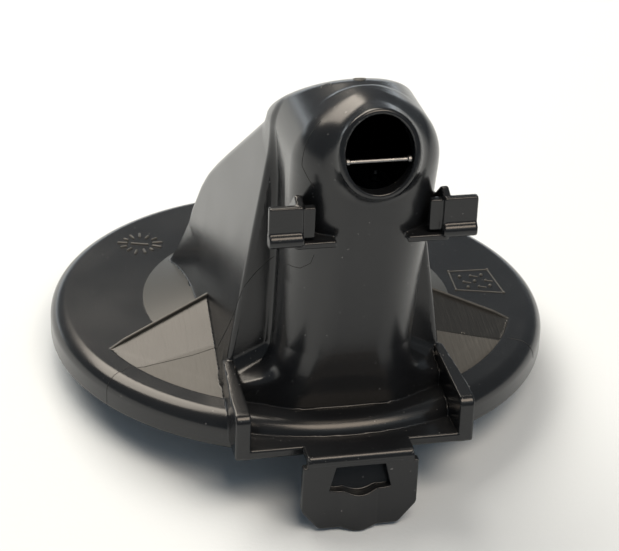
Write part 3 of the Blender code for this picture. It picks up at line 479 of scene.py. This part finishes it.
def noise(nodes, links, coordinates, scale, detail=3.0):
    node = nodes.new("ShaderNodeTexNoise")
    node.inputs["Scale"].default_value = scale
    node.inputs["Detail"].default_value = detail
    links.new(coordinates, node.inputs["Vector"])
    return node.outputs["Fac"]


def ramp_values(nodes, links, value, low, high, out_low, out_high):
    node = nodes.new("ShaderNodeMapRange")
    for key, number in (("From Min", low), ("From Max", high), ("To Min", out_low), ("To Max", out_high)):
        node.inputs[key].default_value = number
    links.new(value, node.inputs["Value"])
    return node.outputs["Result"]


def moulded(name, colour, roughness, grain=1.0, vary=0.06):
    """Moulded plastic: a fine skin of bumps, slow changes of gloss, and a little colour variation."""
    mat, nodes, links, shader = new_material(name, colour, roughness)
    where = nodes.new("ShaderNodeTexCoord").outputs["Object"]
    slow = noise(nodes, links, where, 45.0)
    links.new(ramp_values(nodes, links, slow, 0.1, 0.9, roughness - vary, roughness + vary),
              shader.inputs["Roughness"])
    mix = nodes.new("ShaderNodeMix")
    mix.data_type = "RGBA"
    mix.inputs["A"].default_value = (*[c * 0.85 for c in colour], 1.0)
    mix.inputs["B"].default_value = (*[c * 1.15 for c in colour], 1.0)
    links.new(noise(nodes, links, where, 130.0), mix.inputs["Factor"])
    links.new(mix.outputs["Result"], shader.inputs["Base Color"])
    bump = nodes.new("ShaderNodeBump")
    bump.inputs["Strength"].default_value = 0.12 * grain
    bump.inputs["Distance"].default_value = 0.0001
    links.new(noise(nodes, links, where, 2600.0, 2.0), bump.inputs["Height"])
    links.new(bump.outputs["Normal"], shader.inputs["Normal"])
    return mat


def add_dust(mat, amount=0.16):
    """Sparse pale specks."""
    nodes, links = mat.node_tree.nodes, mat.node_tree.links
    shader = nodes["Principled BSDF"]
    where = nodes.new("ShaderNodeTexCoord").outputs["Object"]
    speck = ramp_values(nodes, links, noise(nodes, links, where, 1500.0, 0.0), 0.845, 0.875, 0.0, 1.0)
    mix = nodes.new("ShaderNodeMix")
    mix.data_type = "RGBA"
    mix.inputs["B"].default_value = (amount, amount, amount, 1.0)
    links.new(speck, mix.inputs["Factor"])
    links.new(shader.inputs["Base Color"].links[0].from_socket, mix.inputs["A"])
    links.new(mix.outputs["Result"], shader.inputs["Base Color"])


def below(nodes, links, where, axis, limit):
    """1 where a coordinate is under a limit given in millimetres."""
    split = nodes.new("ShaderNodeSeparateXYZ")
    links.new(where, split.inputs["Vector"])
    test = nodes.new("ShaderNodeMath")
    test.operation = "LESS_THAN"
    test.inputs[1].default_value = limit * MM
    links.new(split.outputs[axis], test.inputs[0])
    return test.outputs["Value"]


def within(nodes, links, where, radius):
    """1 inside an upright cylinder about the origin."""
    flat = nodes.new("ShaderNodeVectorMath")
    flat.operation = "MULTIPLY"
    flat.inputs[1].default_value = (1.0, 1.0, 0.0)
    links.new(where, flat.inputs[0])
    length = nodes.new("ShaderNodeVectorMath")
    length.operation = "LENGTH"
    links.new(flat.outputs["Vector"], length.inputs[0])
    test = nodes.new("ShaderNodeMath")
    test.operation = "LESS_THAN"
    test.inputs[1].default_value = radius * MM
    links.new(length.outputs["Value"], test.inputs[0])
    return test.outputs["Value"]


def add_zone(mat, colour, roughness, mask_from):
    """Another colour and gloss inside a mask."""
    nodes, links = mat.node_tree.nodes, mat.node_tree.links
    shader = nodes["Principled BSDF"]
    mask = mask_from(nodes, links, nodes.new("ShaderNodeTexCoord").outputs["Object"])
    for socket, kind, value in (("Base Color", "RGBA", (*colour, 1.0)), ("Roughness", "FLOAT", roughness)):
        mix = nodes.new("ShaderNodeMix")
        mix.data_type = kind
        key_a, key_b = [i for i in mix.inputs if i.enabled and i.name in "AB"]
        key_b.default_value = value
        links.new(mask, mix.inputs[0])
        links.new(shader.inputs[socket].links[0].from_socket, key_a)
        links.new([o for o in mix.outputs if o.enabled][0], shader.inputs[socket])


def add_streaks(mat, along_x, along_y, strength):
    """Fine scratches left by milling the mould, drawn out along one direction."""
    nodes, links = mat.node_tree.nodes, mat.node_tree.links
    shader = nodes["Principled BSDF"]
    where = nodes.new("ShaderNodeTexCoord").outputs["Object"]
    stretch = nodes.new("ShaderNodeVectorMath")
    stretch.operation = "MULTIPLY"
    stretch.inputs[1].default_value = (along_x, along_y, along_y)
    links.new(where, stretch.inputs[0])
    height = noise(nodes, links, stretch.outputs["Vector"], 1.0, 4.0)
    bump = nodes.new("ShaderNodeBump")
    bump.inputs["Strength"].default_value = strength
    bump.inputs["Distance"].default_value = 0.0002
    links.new(height, bump.inputs["Height"])
    links.new(shader.inputs["Normal"].links[0].from_socket, bump.inputs["Normal"])
    links.new(bump.outputs["Normal"], shader.inputs["Normal"])


def steel(name):
    mat, nodes, links, shader = new_material(name, (0.55, 0.55, 0.54), 0.3, metallic=1.0)
    where = nodes.new("ShaderNodeTexCoord").outputs["Object"]
    links.new(ramp_values(nodes, links, noise(nodes, links, where, 900.0), 0.3, 0.7, 0.22, 0.42),
              shader.inputs["Roughness"])
    return mat


# ---------------------------------------------------------------- studio

def aim(obj, place, target):
    obj.location = place
    obj.rotation_euler = (Vector(target) - Vector(place)).to_track_quat("-Z", "Y").to_euler()
    bpy.context.scene.collection.objects.link(obj)


def area_light(name, direction, distance, size, power, colour):
    lamp = bpy.data.lights.new(name, "AREA")
    lamp.shape = "RECTANGLE"
    lamp.size, lamp.size_y = size
    lamp.energy = power
    lamp.color = colour
    aim(bpy.data.objects.new(name, lamp),
        Vector(direction).normalized() * distance + Vector((0, 0, 0.04)), (0, 0, 0.04))


def make_camera():
    azimuth, elevation, roll = (math.radians(a) for a in (-13.43, 27.84, 2.32))
    back = Vector((math.sin(azimuth) * math.cos(elevation), -math.cos(azimuth) * math.cos(elevation),
                   math.sin(elevation)))
    right = Vector((math.cos(azimuth), math.sin(azimuth), 0.0))
    up = back.cross(right)
    tilted_right = right * math.cos(roll) + up * math.sin(roll)
    tilted_up = up * math.cos(roll) - right * math.sin(roll)
    data = bpy.data.cameras.new("camera")
    data.sensor_width = 36.0
    data.lens = 124.6
    data.clip_start = 0.01
    camera = bpy.data.objects.new("camera", data)
    place = Vector((3.79, 0.0, 16.23)) * MM + back * 0.6545
    camera.matrix_world = (Matrix.Translation(place)
                           @ Matrix((tilted_right, tilted_up, back)).transposed().to_4x4())
    bpy.context.scene.collection.objects.link(camera)
    bpy.context.scene.camera = camera


def make_floor():
    """Pale floor. The lid lies on its rim's back and its latch's tip, so the floor is tilted in its frame."""
    rest_y, tip_y, tip_z = RIM_R, TAB_FRONT, LATCH_LOW.z
    slope = -tip_z / (rest_y - tip_y)
    bm = bmesh.new()
    bmesh.ops.create_grid(bm, x_segments=1, y_segments=1, size=4.0)
    mesh = bpy.data.meshes.new("floor")
    bm.to_mesh(mesh)
    bm.free()
    floor = bpy.data.objects.new("floor", mesh)
    floor.location = (0.0, rest_y * MM, -0.0002)
    floor.rotation_euler = (math.atan(slope), 0.0, 0.0)
    mat, nodes, links, shader = new_material("floor_paper", (0.70, 0.76, 0.82), 0.9)
    where = nodes.new("ShaderNodeTexCoord").outputs["Object"]
    bump = nodes.new("ShaderNodeBump")
    bump.inputs["Strength"].default_value = 0.25
    bump.inputs["Distance"].default_value = 0.0003
    links.new(noise(nodes, links, where, 700.0), bump.inputs["Height"])
    links.new(bump.outputs["Normal"], shader.inputs["Normal"])
    mesh.materials.append(mat)
    bpy.context.scene.collection.objects.link(floor)


def make_studio():
    world = bpy.data.worlds.new("studio")
    world.use_nodes = True
    world.node_tree.nodes["Background"].inputs["Color"].default_value = (0.78, 0.9, 1.0, 1.0)
    world.node_tree.nodes["Background"].inputs["Strength"].default_value = 0.17
    bpy.context.scene.world = world
    bpy.context.scene.view_settings.view_transform = "Standard"
    area_light("key", (-0.27, 0.47, 0.84), 1.2, (1.2, 0.85), 21.0, (1.0, 0.90, 0.77))
    area_light("front", (0.16, -0.54, 0.83), 1.5, (0.9, 0.7), 12.0, (1.0, 0.82, 0.64))
    area_light("horizon", (-0.1, 1.0, 0.11), 2.0, (3.2, 0.26), 6.0, (0.90, 0.96, 1.0))
    area_light("fill", (0.35, -0.75, 1.0), 2.6, (2.4, 2.4), 8.0, (0.80, 0.93, 1.0))


# ---------------------------------------------------------------- pieces

def seat(obj, body, node):
    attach(obj, body)
    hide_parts(node)


black = moulded("black_moulded", (0.0110, 0.0120, 0.0138), 0.22)
add_dust(black)
ramp_finish = moulded("black_milled", (0.022, 0.022, 0.0215), 0.34)
add_streaks(ramp_finish, 1100.0, 90.0, 1.0)
add_zone(ramp_finish, (0.072, 0.071, 0.067), 0.52,
         lambda nodes, links, where: below(nodes, links, where, "Y", INSERT_Y))
# Inside the cone the deck's colour is painted lighter, a painted sheen for the light its tilted surface
# catches; its gloss is also rougher.
cone_painted_light_finish = moulded("black_deck_cone_painted_light", (0.0110, 0.0120, 0.0138), 0.22)
add_zone(cone_painted_light_finish, (0.042, 0.044, 0.043), 0.34,
         lambda nodes, links, where: within(nodes, links, where, CONE_R))
# Raised ribs, marks and gate vestiges are coloured lighter than the black shell they are moulded from: a
# painted highlight for the light their raised edges catch.
relief_painted_highlight = moulded("black_relief_painted_highlight", (0.055, 0.054, 0.050), 0.42, grain=2.0)
seam_finish = moulded("seam_shadow", (0.004, 0.004, 0.004), 0.6)
finishes = {
    "black_plastic": black,
    "grey_plastic": moulded("grey_moulded", (0.16, 0.17, 0.18), 0.45),
    "white_plastic": moulded("white_moulded", (0.75, 0.74, 0.70), 0.5, vary=0.04),
    "rubber": moulded("black_rubber", (0.02, 0.02, 0.021), 0.72, grain=2.5),
    "steel": steel("bright_steel"),
}
# The port's cross pin: the same steel with its base colour darkened to 0.2.
pin_finish = steel("darkened_steel")
pin_finish.node_tree.nodes["Principled BSDF"].inputs["Base Color"].default_value = (0.2, 0.2, 0.2, 1.0)
for entry in frame["record"]["subparts"]:
    node = frame["nodes"][entry["node"]]
    node.data.materials.clear()
    node.data.materials.append(pin_finish if entry["node"] == "port_cross_pin"
                               else finishes[entry["material_slot"]])


def finish_deck(obj):
    """The ramps carry their own finish. The deck close to the duct, inside the cone, gets a lighter colour:
    painted light standing for the sheen its tilt catches.
    """
    mesh = obj.data
    for finish in (black, ramp_finish, cone_painted_light_finish):
        mesh.materials.append(finish)
    centres, facing = np.zeros(len(mesh.polygons) * 3), np.zeros(len(mesh.polygons) * 3)
    mesh.polygons.foreach_get("center", centres)
    mesh.polygons.foreach_get("normal", facing)
    x, y, z = centres.reshape(-1, 3).T / MM
    x, r, up = np.abs(x), np.hypot(x, y), facing.reshape(-1, 3)[:, 2]
    front = behind_ramp(x, y) < 0
    ramps = front & (np.abs(z - ramp_height(x, y)) < 0.3) & (up > 0.8) & (x > RAMP_PEAK[0]) & (r < POCKET_R)
    # inner: the deck inside the cone, whose lighter colour is painted light.
    inner = ~front & (r < CONE_R + 2) & (up > 0.93) & (z > RIM_H - 0.5) & (z < RIM_H + 3.5)
    mesh.polygons.foreach_set("material_index", np.where(ramps, 1, np.where(inner, 2, 0)).astype(np.int32))


hood = mesh_from_field("hood", shell_field, HOOD_LOW, HOOD_HIGH, SHELL_STEP)
finish_deck(hood)
seat(hood, "lid", "hood_shell")
latch = mesh_from_field("latch", latch_field, LATCH_LOW, LATCH_HIGH, FINE_STEP)
latch.data.materials.append(black)
seat(latch, "latch", "latch_tab")

reliefs = {
    "ramp_ribs": (rib_field, (-63.0, -25.0, 8.0), (63.0, -13.0, 22.5)),
    "mould_wheel": (wheel_field, (WHEEL[0] - 8, WHEEL[1] - 8, 8.5), (WHEEL[0] + 8, WHEEL[1] + 8, 10.5)),
    "mould_mark": (mark_field, (49.0, -9.0, 8.5), (66.0, 10.0, 10.5)),
}
for name, (field, low, high) in reliefs.items():
    relief = mesh_from_field(name, field, low, high, FINE_STEP)
    relief.data.materials.append(relief_painted_highlight)
    seat(relief, "lid", "hood_shell")

for name, (x, y, z), radius, tube, turns in GATES:
    ends = [2 * math.pi * turns * k / 12 - 0.6 for k in range(13)]
    ring_path = [(x + radius * math.cos(a), y + radius * math.sin(a), z) for a in ends]
    mark = seam_line(name, ring_path, tube)
    mark.data.materials.append(relief_painted_highlight)
    seat(mark, "lid", "hood_shell")

for index, path in enumerate(SEAMS):
    line = seam_line(f"seam_{index}", path)
    line.data.materials.append(seam_finish)
    seat(line, "lid", "hood_shell")

make_floor()
make_studio()
make_camera()
